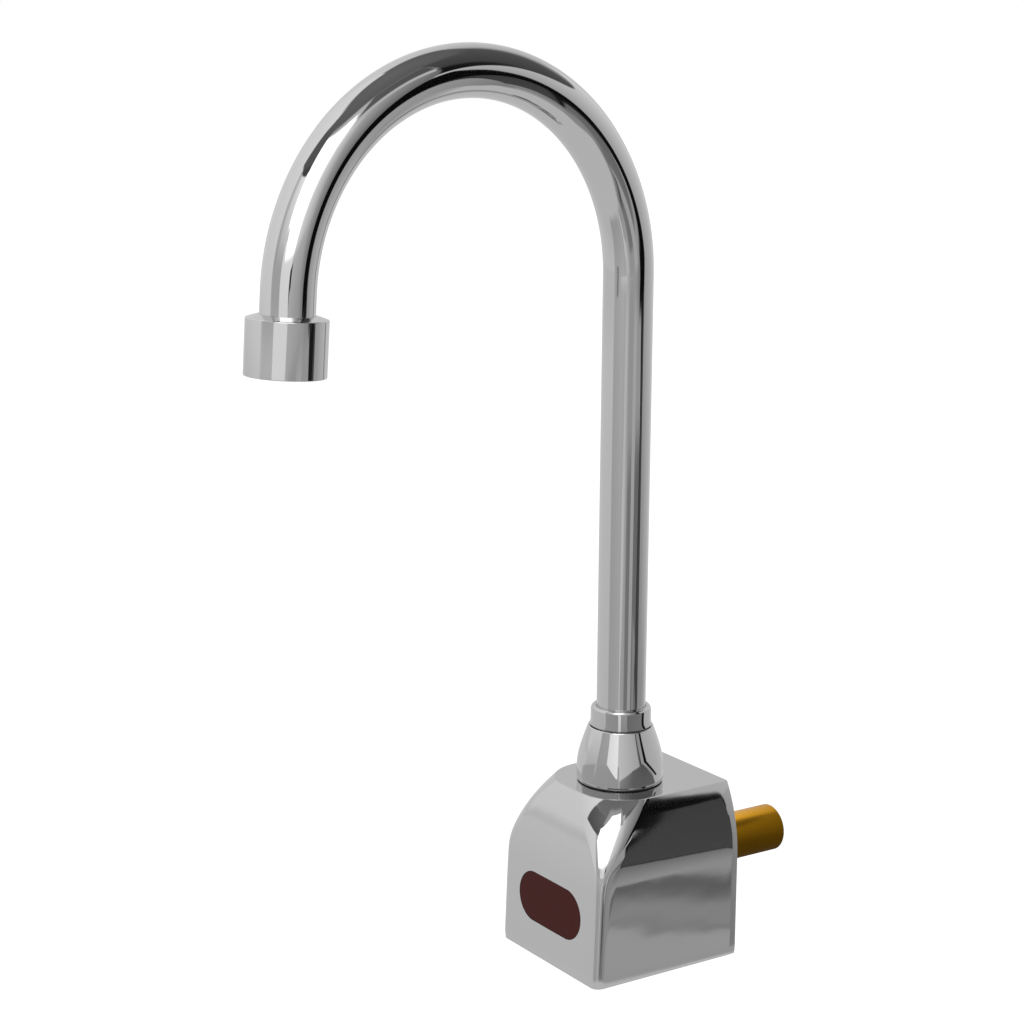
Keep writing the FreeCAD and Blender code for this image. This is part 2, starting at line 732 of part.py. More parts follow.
os.makedirs("parts", exist_ok=True)
save("body_shell", bodyShell())
save("back_plate", backPlate())
save("back_plate_screws", backPlateScrews())
save("wall_gasket", wallGasket())
save("cable_grommet", cableGrommet())
save("inlet_shank", inletShank())
save("shank_seal", shankSeal())
save("waterway_elbow", waterwayElbow())
save("adapter_seal", adapterSeal())
save("spout_adapter", spoutAdapter())
save("base_washer", baseWasher())
save("bell_nut", bellNut())
save("thrust_washer", thrustWasher())
save("window_lens", windowLens())
save("window_gasket", windowGasket())
save("sensor_housing", sensorHousing())
save("sensor_board", sensorBoard())
save("ir_emitter", eye(-eyeSpread, eyeRadius, eyeLength))
save("ir_receiver", eye(eyeSpread, eyeRadius, eyeLength))
save("status_light", eye(0, lightRadius, lightLength))
save("sensor_bracket", sensorBracket())
save("bracket_screws", bracketScrews())
save("swivel_sleeve", swivelSleeve())
save("sleeve_o_rings", sleeveORings())
save("slip_washer", slipWasher())
save("spout_tube", spoutTube())
save("outlet_fitting", outletFitting())
save("aerator_housing", aeratorHousing())
save("aerator_washer", aeratorWasher())
save("flow_regulator", flowRegulator())
save("aerator_insert", aeratorInsert())
save("aerator_screen", aeratorScreen())
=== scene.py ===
import json
import math

import bmesh
import bpy
from mathutils import Matrix, Vector


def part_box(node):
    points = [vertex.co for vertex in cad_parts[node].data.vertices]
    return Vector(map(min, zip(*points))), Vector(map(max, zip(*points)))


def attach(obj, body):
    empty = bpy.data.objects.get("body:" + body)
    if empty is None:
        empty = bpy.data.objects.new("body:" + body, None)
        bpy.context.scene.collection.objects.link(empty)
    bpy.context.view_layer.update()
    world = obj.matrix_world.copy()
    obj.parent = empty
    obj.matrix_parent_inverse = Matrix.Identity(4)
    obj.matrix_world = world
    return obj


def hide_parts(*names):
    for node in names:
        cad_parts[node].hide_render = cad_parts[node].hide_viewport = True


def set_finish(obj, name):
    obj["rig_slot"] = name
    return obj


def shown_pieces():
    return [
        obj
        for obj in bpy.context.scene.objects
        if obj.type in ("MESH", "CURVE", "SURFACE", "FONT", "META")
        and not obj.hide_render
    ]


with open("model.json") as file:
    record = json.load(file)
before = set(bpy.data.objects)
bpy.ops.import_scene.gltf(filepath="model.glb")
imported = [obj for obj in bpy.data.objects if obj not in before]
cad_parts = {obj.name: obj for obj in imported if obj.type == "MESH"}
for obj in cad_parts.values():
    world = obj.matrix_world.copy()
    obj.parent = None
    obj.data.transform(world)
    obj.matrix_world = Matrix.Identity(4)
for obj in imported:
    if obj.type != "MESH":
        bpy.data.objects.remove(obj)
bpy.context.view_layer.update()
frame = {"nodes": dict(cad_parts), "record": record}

mm = 0.001
deg = math.pi / 180
slack = 0.1 * mm           # a vertex this near to a face counts as lying on it
mergeDistance = 0.0004 * mm
upAxis = Vector((0, 0, 1))
scene = bpy.context.scene
bodyLow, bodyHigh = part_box("body_shell")
print("frame loaded:", len(frame["nodes"]), "nodes")


# ---- making and finishing pieces ----

def finishPiece(bm, name, body, slot, replaced, smooth=35, weighted=True):
    # turns a bmesh into a riding piece; edges sharper than smooth degrees stay crisp
    bmesh.ops.remove_doubles(bm, verts=bm.verts, dist=mergeDistance)
    bmesh.ops.recalc_face_normals(bm, faces=bm.faces)
    mesh = bpy.data.meshes.new(name)
    bm.to_mesh(mesh)
    bm.free()
    mesh.shade_smooth()
    mesh.set_sharp_from_angle(angle=smooth * deg)
    piece = bpy.data.objects.new(name, mesh)
    scene.collection.objects.link(piece)
    if weighted:
        evenShading(piece)
    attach(piece, body)
    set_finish(piece, slot)
    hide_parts(replaced)
    return piece


def evenShading(piece):
    # larger faces lead the shading, so flats stay flat beside small bevels
    even = piece.modifiers.new("evenShading", "WEIGHTED_NORMAL")
    even.keep_sharp = True
    even.weight = 50


def pick(made, kind=bmesh.types.BMVert):
    # the vertices, or the edges, among what an operator made
    return [item for item in made if isinstance(item, kind)]


def isLevel(edge):
    return abs(edge.verts[0].co.z - edge.verts[1].co.z) < slack / 10


def fromAxis(vert):
    return vert.co.to_2d().length


def roundEdges(bm, radius, segments, chosen, sharper=40):
    # bevels the crisp edges that the test picks
    edges = [e for e in bm.edges if len(e.link_faces) == 2
             and e.calc_face_angle(0) > sharper * deg and chosen(e)]
    if edges:
        bmesh.ops.bevel(bm, geom=edges, offset=radius, offset_type="OFFSET", segments=segments,
                        profile=0.5, affect="EDGES", material=-1, clamp_overlap=True)


def turned(profile, steps):
    # a closed outline of (radius, height) in millimetres, spun a full turn about Z
    bm = bmesh.new()
    corners = [bm.verts.new((r * mm, 0, z * mm)) for r, z in profile]
    edges = [bm.edges.new((corners[i - 1], corners[i])) for i in range(len(corners))]
    bmesh.ops.spin(bm, geom=corners + edges, cent=(0, 0, 0), axis=upAxis, dvec=(0, 0, 0),
                   angle=2 * math.pi, steps=steps, use_merge=True)
    bmesh.ops.recalc_face_normals(bm, faces=bm.faces)
    return bm


def smoothLine(points, count):
    # a natural cubic spline through a few (radius, height) points
    spans = [math.dist(a, b) for a, b in zip(points, points[1:])]
    last = len(points) - 1
    bends = []
    for axis in (0, 1):
        rows = [[0.0] * (last + 1) for _ in range(last + 1)]
        right = [0.0] * (last + 1)
        rows[0][0] = rows[last][last] = 1.0
        for i in range(1, last):
            before, after = spans[i - 1], spans[i]
            rows[i][i - 1:i + 2] = [before, 2 * (before + after), after]
            right[i] = 6 * ((points[i + 1][axis] - points[i][axis]) / after
                            - (points[i][axis] - points[i - 1][axis]) / before)
        bends.append([float(v) for v in Matrix(rows).inverted() @ Vector(right)])
    line = []
    total = sum(spans)
    for n in range(count + 1):
        along = total * n / count
        i = 0
        while i < last - 1 and along > spans[i]:
            along -= spans[i]
            i += 1
        h = spans[i]
        a = min(along, h)
        b = h - a
        place = []
        for axis in (0, 1):
            m0, m1 = bends[axis][i], bends[axis][i + 1]
            p0, p1 = points[i][axis], points[i + 1][axis]
            place.append(m0 * b ** 3 / (6 * h) + m1 * a ** 3 / (6 * h)
                         + (p0 / h - m0 * h / 6) * b + (p1 / h - m1 * h / 6) * a)
        line.append(tuple(place))
    return line


def raiseChain(bm, chain, places):
    # extrudes a chain of edges once and puts its new vertices in place
    edges = [bm.edges.get(pair) for pair in zip(chain, chain[1:])]
    fresh = set(pick(bmesh.ops.extrude_edge_only(bm, edges=edges)["geom"]))
    raised = [next(e.other_vert(v) for e in v.link_edges if e.other_vert(v) in fresh) for v in chain]
    for vert, place in zip(raised, places):
        vert.co = place
    return raised


def carve(piece, cutters):
    # cuts closed bmeshes out of a piece and keeps the result as its mesh
    for bm in cutters:
        mesh = bpy.data.meshes.new("cutter")
        bmesh.ops.recalc_face_normals(bm, faces=bm.faces)
        bm.to_mesh(mesh)
        bm.free()
        cutter = bpy.data.objects.new("cutter", mesh)
        scene.collection.objects.link(cutter)
        cut = piece.modifiers.new("cut", "BOOLEAN")
        cut.operation = "DIFFERENCE"
        cut.solver = "EXACT"
        cut.object = cutter
        bpy.context.view_layer.update()
        evaluated = piece.evaluated_get(bpy.context.evaluated_depsgraph_get())
        result = bpy.data.meshes.new_from_object(evaluated)
        piece.modifiers.clear()
        old = piece.data
        piece.data = result
        bpy.data.meshes.remove(old)
        bpy.data.objects.remove(cutter)
        bpy.data.meshes.remove(mesh)


# ---- body casting ----

casting = {
    "height": 69.4, "halfWidth": 32.4, "topHalfWidth": 24.8, "sideCurveStart": 40.4,
    "reach": 33.6, "frontLean": 0.035, "frontCurveStart": 36.8, "topReach": 23.0,
    # the front corners' radius grows upwards from cornerGrowStart
    "corner": 3.2, "cornerGrowStart": 42.5, "cornerGrowth": 0.6, "cornerEase": 4.0,
    # a corner turns slowly at first, over this tail on the side face
    "tail": 4.0, "tailFoot": 1.5, "tailTurn": 12.0, "tailStart": 44.0, "tailEnd": 58.0,
    "wall": 3.0, "rings": 56,
    "rim": [(72, 0.2), (78, 0.3), (84, 0.4)],            # slope of the face and length of each step
    "rollWidth": 4.5, "rollDepth": 0.3, "rollSteps": 7,  # edges worn round by polishing
    "sideSteps": 24, "sideEase": 1.35, "cornerSteps": 26, "cornerTurnEase": 1.4, "frontSteps": 24,
    "riserFromWall": 34.0, "spoutHole": 14.0, "holeDepth": 20.0, "holeSteps": 96, "crisp": 30,
}
# a point on the spout's upright axis
riser = Vector(((bodyLow.x + bodyHigh.x) / 2, -casting["riserFromWall"] * mm, 0))


def arcRadius(rise, drop):
    return (rise ** 2 + drop ** 2) / (2 * drop)


sideArc = arcRadius(casting["height"] - casting["sideCurveStart"],
                    casting["halfWidth"] - casting["topHalfWidth"])
frontArc = arcRadius(casting["height"] - casting["frontCurveStart"],
                     casting["reach"] - casting["frontLean"] * casting["height"] - casting["topReach"])


def rollIn(distance):
    near = max(1 - distance / casting["rollWidth"], 0)
    return casting["rollDepth"] * near ** 2


def cornerTurn(radius, tail):
    # (inwards, forwards) from where the side face ends to where the front face starts
    turn = casting["tailTurn"] * deg
    x = y = before = 0.0
    path = [(x, y)]
    for i in range(1, casting["cornerSteps"] + 1):
        a = 90 * deg * (i / casting["cornerSteps"]) ** casting["cornerTurnEase"]
        middle, step = (a + before) / 2, a - before
        length = (radius + tail * 2 / turn * max(1 - middle / turn, 0)) * step
        x += length * math.sin(middle)
        y += length * math.cos(middle)
        path.append((x, y))
        before = a
    return path


def castingOutline(height, inset):
    # (x, y) from the wall forward on the right, across the front, and back on the left
    c = casting
    rise = max(height - c["sideCurveStart"], 0)
    half = c["halfWidth"] - sideArc + math.sqrt(sideArc ** 2 - rise ** 2) - inset - rollIn(height)
    rise = max(height - c["frontCurveStart"], 0)
    curve = frontArc - math.sqrt(frontArc ** 2 - rise ** 2)
    front = inset + rollIn(height) + curve + c["frontLean"] * height - c["reach"] - c["riserFromWall"]
    above = height - c["cornerGrowStart"]
    grown = c["cornerGrowth"] * (above + math.hypot(above, c["cornerEase"])) / 2
    if height < c["tailStart"]:
        tail = c["tailFoot"] + (c["tail"] - c["tailFoot"]) * (height / c["tailStart"]) ** 2
    else:
        tail = c["tail"] * max(1 - (height - c["tailStart"]) / (c["tailEnd"] - c["tailStart"]), 0)
    turn = cornerTurn(c["corner"] + grown - inset, tail)
    deep, long = turn[-1]
    right = []
    for i in range(c["sideSteps"]):
        y = (front + long) * (i / c["sideSteps"]) ** c["sideEase"]
        right.append((half - rollIn(-y), y))
    right += [(half - x, front + long - y) for x, y in turn[:-1]]
    middle = [((half - deep) * (1 - 2 * i / c["frontSteps"]), front) for i in range(c["frontSteps"] + 1)]
    return right + middle + [(-x, y) for x, y in reversed(right)]


def castingLevels():
    # (height, inset) of each ring, from the bottom edge to the top face
    c = casting
    rimStart = c["height"] - sum(length * math.cos(slope * deg) for slope, length in c["rim"])
    levels = [(rimStart * i / c["rings"], 0) for i in range(c["rings"] + 1)]
    levels[1:1] = [(levels[1][0] * i / c["rollSteps"], 0) for i in range(1, c["rollSteps"])]
    for slope, length in c["rim"]:
        height, inset = levels[-1]
        levels.append((height + length * math.cos(slope * deg), inset + length * math.sin(slope * deg)))
    return rimStart, levels


def makeCasting():
    c = casting
    base = bodyLow.z / mm
    rimStart, levels = castingLevels()
    bm = bmesh.new()
    chain = [bm.verts.new((x * mm, y * mm, base * mm)) for x, y in castingOutline(0, 0)]
    edges = [bm.edges.new(pair) for pair in zip(chain, chain[1:] + chain[:1])]
    bmesh.ops.contextual_create(bm, geom=edges)
    for height, inset in levels[1:]:
        outline = castingOutline(min(height, rimStart), inset)
        chain = raiseChain(bm, chain, [(x * mm, y * mm, (base + height) * mm) for x, y in outline])
    edges = [bm.edges.get(pair) for pair in zip(chain, chain[1:])] + [bm.edges.new((chain[-1], chain[0]))]
    bmesh.ops.contextual_create(bm, geom=edges)
    bmesh.ops.recalc_face_normals(bm, faces=bm.faces)
    if max(bm.faces, key=lambda f: f.calc_center_median().z).normal.z < 0:
        bmesh.ops.reverse_faces(bm, faces=bm.faces)
    piece = finishPiece(bm, "bodyCasting", "tap_body", "polished_chrome", "body_shell", weighted=False)
    thick = piece.modifiers.new("wallThickness", "SOLIDIFY")
    thick.thickness = c["wall"] * mm
    thick.offset = -1
    thick.use_even_offset = True
    hole = bmesh.new()
    bmesh.ops.create_cone(hole, cap_ends=True, segments=c["holeSteps"], radius1=c["spoutHole"] * mm,
                          radius2=c["spoutHole"] * mm, depth=c["holeDepth"] * mm)
    bmesh.ops.translate(hole, verts=hole.verts, vec=Vector((0, -c["riserFromWall"], base + c["height"])) * mm)
    carve(piece, [hole, slotBlock(0, window["cutDepth"], window["cutStart"])])
    piece.data.shade_smooth()
    piece.data.set_sharp_from_angle(angle=c["crisp"] * deg)
    evenShading(piece)


# ---- sensor window: a slot with round ends, square to the leaning front ----

window = {
    "length": 41.6, "height": 20.0, "centre": 23.8, "gap": 0.15, "edge": 0.25, "edgeSteps": 4,
    "depth": 4.0, "endSteps": 32, "cutDepth": 12.0, "cutStart": -6.0,
    "backRing": 0.01,   # a hair's step round the back of the lens
}
windowFront = casting["frontLean"] * window["centre"] - casting["reach"] - casting["riserFromWall"]
windowCentre = Vector((0, windowFront, window["centre"])) * mm + upAxis * bodyLow.z
windowPlace = Matrix.Translation(windowCentre) @ Matrix.Rotation(-math.atan(casting["frontLean"]), 4, "X")


def slotFace(bm, grow, y):
    # a round stretched into a slot, facing out of the body
    radius = window["height"] / 2 + grow
    made = bmesh.ops.create_circle(bm, cap_ends=True, segments=2 * window["endSteps"],
                                   radius=radius * mm)["verts"]
    bmesh.ops.rotate(bm, verts=made, cent=(0, 0, 0), matrix=Matrix.Rotation(90 * deg, 3, "X"))
    stretch = (window["length"] - window["height"]) / 2 * mm
    for v in made:
        v.co.x += math.copysign(stretch, v.co.x) if abs(v.co.x) > mergeDistance else 0
        v.co.y = y * mm


def slotBlock(grow, depth, start, edge=0):
    # a slot face pulled into the body, with its front edge worn round
    bm = bmesh.new()
    slotFace(bm, grow, start)
    made = bmesh.ops.extrude_face_region(bm, geom=list(bm.faces))["geom"]
    bmesh.ops.translate(bm, verts=pick(made), vec=(0, depth * mm, 0))
    bmesh.ops.recalc_face_normals(bm, faces=bm.faces)
    if edge:
        roundEdges(bm, edge * mm, window["edgeSteps"],
                   lambda e: all(v.co.y < start * mm + slack for v in e.verts))
    bmesh.ops.transform(bm, matrix=windowPlace, verts=bm.verts)
    return bm


def makeLens():
    bm = slotBlock(-window["gap"], window["depth"], 0, window["edge"])
    back = max(bm.faces, key=lambda f: f.calc_center_median().y)
    bmesh.ops.inset_region(bm, faces=[back], thickness=-window["backRing"] * mm, depth=0)
    finishPiece(bm, "sensorWindow", "tap_body", "maroon_lens", "window_lens")


# ---- bell nut and collar, turned about the riser ----

nut = {
    "outline": [(12.65, 0), (14.5, -5.2), (16.95, -16.0), (16.75, -21.9)],   # radius, height below the top
    "inside": [(13.5, -21.9), (13.5, -10.0), (12.5, -10.0), (12.5, -3.0), (11.0, -3.0), (11.0, 0)],
    "curveSteps": 40, "steps": 128, "edge": 0.3, "edgeSteps": 3,
    "edgesBeyond": 12.6, "plainFrom": -19.0, "plainTo": -1.0,                 # where no edge is rounded
}
collar = {
    "outline": [(12.2, 0), (11.75, 1.6), (11.75, 6.3), (11.25, 7.2), (10.9, 7.5), (9.545, 7.5), (9.545, -6.5),
                (7.0, -6.5), (7.0, -23.0), (10.6, -23.0), (10.6, -5.0), (10.9, -5.0), (10.9, 0)],
    "steps": 128, "edge": 0.25, "edgeSteps": 3,
}


def makeNut():
    def atEnd(edge):
        outside = all(fromAxis(v) > nut["edgesBeyond"] * mm for v in edge.verts)
        return outside and not nut["plainFrom"] * mm <= edge.verts[0].co.z <= nut["plainTo"] * mm

    bm = turned(smoothLine(nut["outline"], nut["curveSteps"]) + nut["inside"], nut["steps"])
    roundEdges(bm, nut["edge"] * mm, nut["edgeSteps"], atEnd)
    bmesh.ops.translate(bm, verts=bm.verts, vec=(riser.x, riser.y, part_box("bell_nut")[1].z))
    finishPiece(bm, "bellNut", "tap_body", "polished_chrome", "bell_nut")


def makeCollar():
    height = max(z for _, z in collar["outline"])
    bm = turned(collar["outline"], collar["steps"])
    roundEdges(bm, collar["edge"] * mm, collar["edgeSteps"],
               lambda e: e.verts[0].co.z > -slack and isLevel(e))
    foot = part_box("swivel_sleeve")[1].z - height * mm
    bmesh.ops.translate(bm, verts=bm.verts, vec=(riser.x, riser.y, foot))
    finishPiece(bm, "swivelSleeve", "spout", "polished_chrome", "swivel_sleeve")


# ---- gooseneck, drawn straight ahead and then swung to where it stands ----

gooseneck = {
    "radius": 9.525, "wall": 1.25, "archRadius": 76.2, "archAboveBody": 266.8, "sweep": 176.3,
    "straight": 9.0, "intoFitting": 7.0, "intoSleeve": 14.0, "socketGap": 0.02, "swing": 5.6,
    "around": 96, "riserSteps": 30, "archSteps": 150, "endSteps": 4,
}
outlet = {
    "radius": 14.2, "length": 19.5, "shoulder": 1.2, "shoulderRadius": 10.6, "waterway": 8.0, "steps": 128,
    "edge": 0.3, "edgeSteps": 4, "edgeSharper": 20, "edgeBand": 0.2,
    "aeratorRadius": 12.2, "aeratorLength": 10.6, "aeratorWall": 1.3, "recess": 0.3, "lip": 1.0,
    "aeratorEdge": 0.2, "aeratorEdgeSteps": 3, "threadGap": 0.1, "washer": 1.6,
}
sweepAngle = gooseneck["sweep"] * deg
archCentre = Vector((0, -casting["riserFromWall"] - gooseneck["archRadius"],
                     bodyLow.z / mm + gooseneck["archAboveBody"]))
outletDirection = Vector((0, -math.sin(sweepAngle), math.cos(sweepAngle)))
outletStart = (archCentre + gooseneck["archRadius"] * Vector((0, math.cos(sweepAngle), math.sin(sweepAngle)))
               + gooseneck["straight"] * outletDirection)
swing = (Matrix.Translation(riser) @ Matrix.Rotation(gooseneck["swing"] * deg, 4, "Z")
         @ Matrix.Translation(-riser))
outletPlace = (swing @ Matrix.Translation(outletStart * mm)
               @ upAxis.rotation_difference(outletDirection).to_matrix().to_4x4())


def pullOn(bm, edges, vec):
    # extrudes the rings once and returns their new edges
    made = bmesh.ops.extrude_edge_only(bm, edges=edges)["geom"]
    bmesh.ops.translate(bm, verts=pick(made), vec=vec)
    return pick(made, bmesh.types.BMEdge)


def makeTube():
    g = gooseneck
    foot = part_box("swivel_sleeve")[1].z / mm - g["intoSleeve"]
    bm = bmesh.new()
    for radius in (g["radius"], g["radius"] - g["wall"]):
        ring = bmesh.ops.create_circle(bm, segments=g["around"], radius=radius * mm)["verts"]
        bmesh.ops.translate(bm, verts=ring, vec=riser + upAxis * foot * mm)
    start = front = list(bm.edges)
    for i in range(g["riserSteps"]):
        front = pullOn(bm, front, upAxis * (archCentre.z - foot) * mm / g["riserSteps"])
    rings = front + list({v for e in front for v in e.verts})
    made = bmesh.ops.spin(bm, geom=rings, cent=archCentre * mm, axis=(1, 0, 0), dvec=(0, 0, 0),
                          angle=sweepAngle, steps=g["archSteps"])["geom_last"]
    front = pick(made, bmesh.types.BMEdge)
    for i in range(g["endSteps"]):
        front = pullOn(bm, front, outletDirection * (g["straight"] + g["intoFitting"]) / g["endSteps"] * mm)
    for end in (start, front):
        bmesh.ops.bridge_loops(bm, edges=[e for e in end if e.is_valid])
    bmesh.ops.transform(bm, matrix=swing, verts=bm.verts)
    finishPiece(bm, "gooseneck", "spout", "polished_chrome", "spout_tube")


def makeOutlet():
    o = outlet
    socket = gooseneck["radius"] + gooseneck["socketGap"]
    foot = o["length"] - o["recess"]
    head = foot - o["aeratorLength"]
    washerTop = head - o["washer"]
    mouth = o["aeratorRadius"] + o["threadGap"]
    bm = turned([(socket, -o["shoulder"]), (o["shoulderRadius"], -o["shoulder"]), (o["radius"], 0),
                 (o["radius"], o["length"]), (mouth, o["length"]), (mouth, washerTop),
                 (o["waterway"], washerTop), (o["waterway"], gooseneck["intoFitting"]),
                 (socket, gooseneck["intoFitting"])], o["steps"])
    outermost = (o["radius"] - o["edgeBand"]) * mm
    roundEdges(bm, o["edge"] * mm, o["edgeSteps"],
               lambda e: min(fromAxis(v) for v in e.verts) > outermost and isLevel(e),
               sharper=o["edgeSharper"])
    bmesh.ops.transform(bm, matrix=outletPlace, verts=bm.verts)
    finishPiece(bm, "outletFitting", "spout", "polished_chrome", "outlet_fitting")
    inner = o["aeratorRadius"] - o["aeratorWall"]
    bm = turned([(inner, head), (o["aeratorRadius"], head), (o["aeratorRadius"], foot),
                 (inner - o["lip"], foot), (inner - o["lip"], foot - o["lip"]), (inner, foot - o["lip"])],
                o["steps"])
    roundEdges(bm, o["aeratorEdge"] * mm, o["aeratorEdgeSteps"],
               lambda e: min(v.co.z for v in e.verts) > foot * mm - slack)
    bmesh.ops.transform(bm, matrix=outletPlace, verts=bm.verts)
    finishPiece(bm, "aeratorHousing", "spout", "polished_chrome", "aerator_housing")


# ---- brass stub behind the body ----

shank = {
    # radius, distance behind the wall plane
    "outline": [(6.5, 43.4), (8.9, 43.4), (9.4, 42.9), (9.4, 0), (10.2, 0), (10.2, -4.6), (14.0, -4.6),
                (14.0, -7.6), (9.0, -7.6), (9.0, -17.6), (6.5, -17.6)],
    "steps": 96, "edge": 0.2, "edgeSteps": 3, "endFrom": 42.0,
}


def makeShank():
    bm = turned(shank["outline"], shank["steps"])
    roundEdges(bm, shank["edge"] * mm, shank["edgeSteps"],
               lambda e: min(v.co.z for v in e.verts) > shank["endFrom"] * mm)
    bmesh.ops.rotate(bm, verts=bm.verts, cent=(0, 0, 0), matrix=Matrix.Rotation(-90 * deg, 3, "X"))
    finishPiece(bm, "inletShank", "tap_body", "bare_brass", "inlet_shank")


makeCasting()
makeLens()
print("casting and window made")
makeNut()
makeCollar()
makeTube()
makeOutlet()
makeShank()
print("turned and swept pieces made")


# ---- finishes ----

class Signal:
    # a socket that Python operators add Math nodes to
    def __init__(self, finish, socket):
        self.finish = finish
        self.socket = socket

    def math(self, operation, first, second):
        return self.finish.node("ShaderNodeMath", {"operation": operation}, {0: first, 1: second})

    def __add__(self, other):
        return self.math("ADD", self, other)

    def __radd__(self, other):
        return self.math("ADD", other, self)

    def __sub__(self, other):
        return self.math("SUBTRACT", self, other)

    def __rsub__(self, other):
        return self.math("SUBTRACT", other, self)

    def __mul__(self, other):
        return self.math("MULTIPLY", self, other)

    def __rmul__(self, other):
        return self.math("MULTIPLY", other, self)


class Finish:
    # a material's node tree, or the world's
    def __init__(self, name, tree=None):
        if tree is None:
            self.material = bpy.data.materials.new(name)
            self.material.use_nodes = True
            tree = self.material.node_tree
        tree.nodes.clear()
        self.tree = tree

    def node(self, kind, settings=None, sockets=None, out=0):
        made = self.tree.nodes.new(kind)
        for key, value in (settings or {}).items():
            setattr(made, key, value)
        for key, value in (sockets or {}).items():
            if isinstance(value, Signal):
                self.tree.links.new(value.socket, made.inputs[key])
            else:
                made.inputs[key].default_value = value
        return Signal(self, made.outputs[out]) if len(made.outputs) else made

    def noise(self, scale, detail=2, stretch=(1, 1, 1)):
        place = self.node("ShaderNodeTexCoord", out="Object")
        if stretch != (1, 1, 1):
            place = self.node("ShaderNodeMapping", {}, {"Vector": place, "Scale": stretch})
        return self.node("ShaderNodeTexNoise", {}, {"Vector": place, "Scale": scale, "Detail": detail})

    def between(self, factor, first, second):
        # a colour that goes from the first to the second
        return self.node("ShaderNodeMix", {"data_type": "RGBA"},
                         {"Factor": factor, 6: (*first, 1), 7: (*second, 1)}, out=2)

    def surface(self, sockets):
        shader = self.node("ShaderNodeBsdfPrincipled", {}, sockets)
        self.node("ShaderNodeOutputMaterial", {}, {"Surface": shader})
        return self.material

    def bump(self, height, strength, distance):
        return self.node("ShaderNodeBump", {}, {"Height": height, "Strength": strength, "Distance": distance})


chrome = {
    "dark": (0.59, 0.59, 0.593), "light": (0.61, 0.61, 0.611), "cloudScale": 9, "hazeScale": 60,
    "roughness": 0.035, "haze": 0.02, "waveScale": 38, "waveStrength": 0.12, "waveDepth": 0.00035,
}
# the casting was buffed by hand, which leaves long shallow waves
buffed = {
    "roughness": 0.045, "haze": 0.03, "waveScale": 26, "waveStretch": (1, 1, 1.6), "waveHeight": 0.3,
    "rippleScale": 70, "rippleHeight": 0.1, "waveDepth": 0.0004,
}
brass = {
    "dark": (0.62, 0.30, 0.010), "light": (0.70, 0.34, 0.014), "cloudScale": 70,
    "roughness": 0.28, "haze": 0.08,
    "turningScale": 900, "turningStretch": (0.02, 1, 0.02), "turningStrength": 0.06, "turningDepth": 0.0002,
}
lens = {
    "dark": (0.053, 0.0105, 0.0088), "light": (0.058, 0.0120, 0.0100), "cloudScale": 120,
    "roughness": 0.22, "haze": 0.06, "hazeScale": 300, "specular": 0.05,
}
plastic = {
    "metallic": 0.0, "cloudScale": 200, "haze": 0.1,
    "grainScale": 1500, "grainDetail": 2, "grainStrength": 0.1, "grainDepth": 0.0001,
}
metal = {
    "metallic": 1.0, "cloudScale": 90, "haze": 0.15,
    "grainScale": 700, "grainDetail": 4, "grainStrength": 0.12, "grainDepth": 0.0001,
}


def chromeSurface(f, roughness, haze, normal):
    return f.surface({"Base Color": f.between(f.noise(chrome["cloudScale"]), chrome["dark"], chrome["light"]),
                      "Metallic": 1.0, "Roughness": roughness + f.noise(chrome["hazeScale"], 3) * haze,
                      "Normal": normal})


def polishedChrome():
    f = Finish("polishedChrome")
    waves = f.bump(f.noise(chrome["waveScale"], 1), chrome["waveStrength"], chrome["waveDepth"])
    return chromeSurface(f, chrome["roughness"], chrome["haze"], waves)


def handPolishedChrome():
    f = Finish("handPolishedChrome")
    waves = (f.noise(buffed["waveScale"], 1, buffed["waveStretch"]) * buffed["waveHeight"]
             + f.noise(buffed["rippleScale"], 1) * buffed["rippleHeight"])
    return chromeSurface(f, buffed["roughness"], buffed["haze"], f.bump(waves, 1.0, buffed["waveDepth"]))


def bareBrass():
    f = Finish("bareBrass")
    turning = f.noise(brass["turningScale"], 3, brass["turningStretch"])
    return f.surface({"Base Color": f.between(f.noise(brass["cloudScale"], 4), brass["dark"], brass["light"]),
                      "Metallic": 1.0, "Roughness": brass["roughness"] + turning * brass["haze"],
                      "Normal": f.bump(turning, brass["turningStrength"], brass["turningDepth"])})


def maroonLens():
    f = Finish("maroonLens")
    return f.surface({"Base Color": f.between(f.noise(lens["cloudScale"]), lens["dark"], lens["light"]),
                      "Roughness": lens["roughness"] + f.noise(lens["hazeScale"]) * lens["haze"],
                      "Specular IOR Level": lens["specular"]})


def plainFinish(kind, name, dark, light, rough):
    f = Finish(name)
    grain = f.noise(kind["grainScale"], kind["grainDetail"])
    return f.surface({"Base Color": f.between(f.noise(kind["cloudScale"], 3), dark, light),
                      "Metallic": kind["metallic"], "Roughness": rough + grain * kind["haze"],
                      "Normal": f.bump(grain, kind["grainStrength"], kind["grainDepth"])})


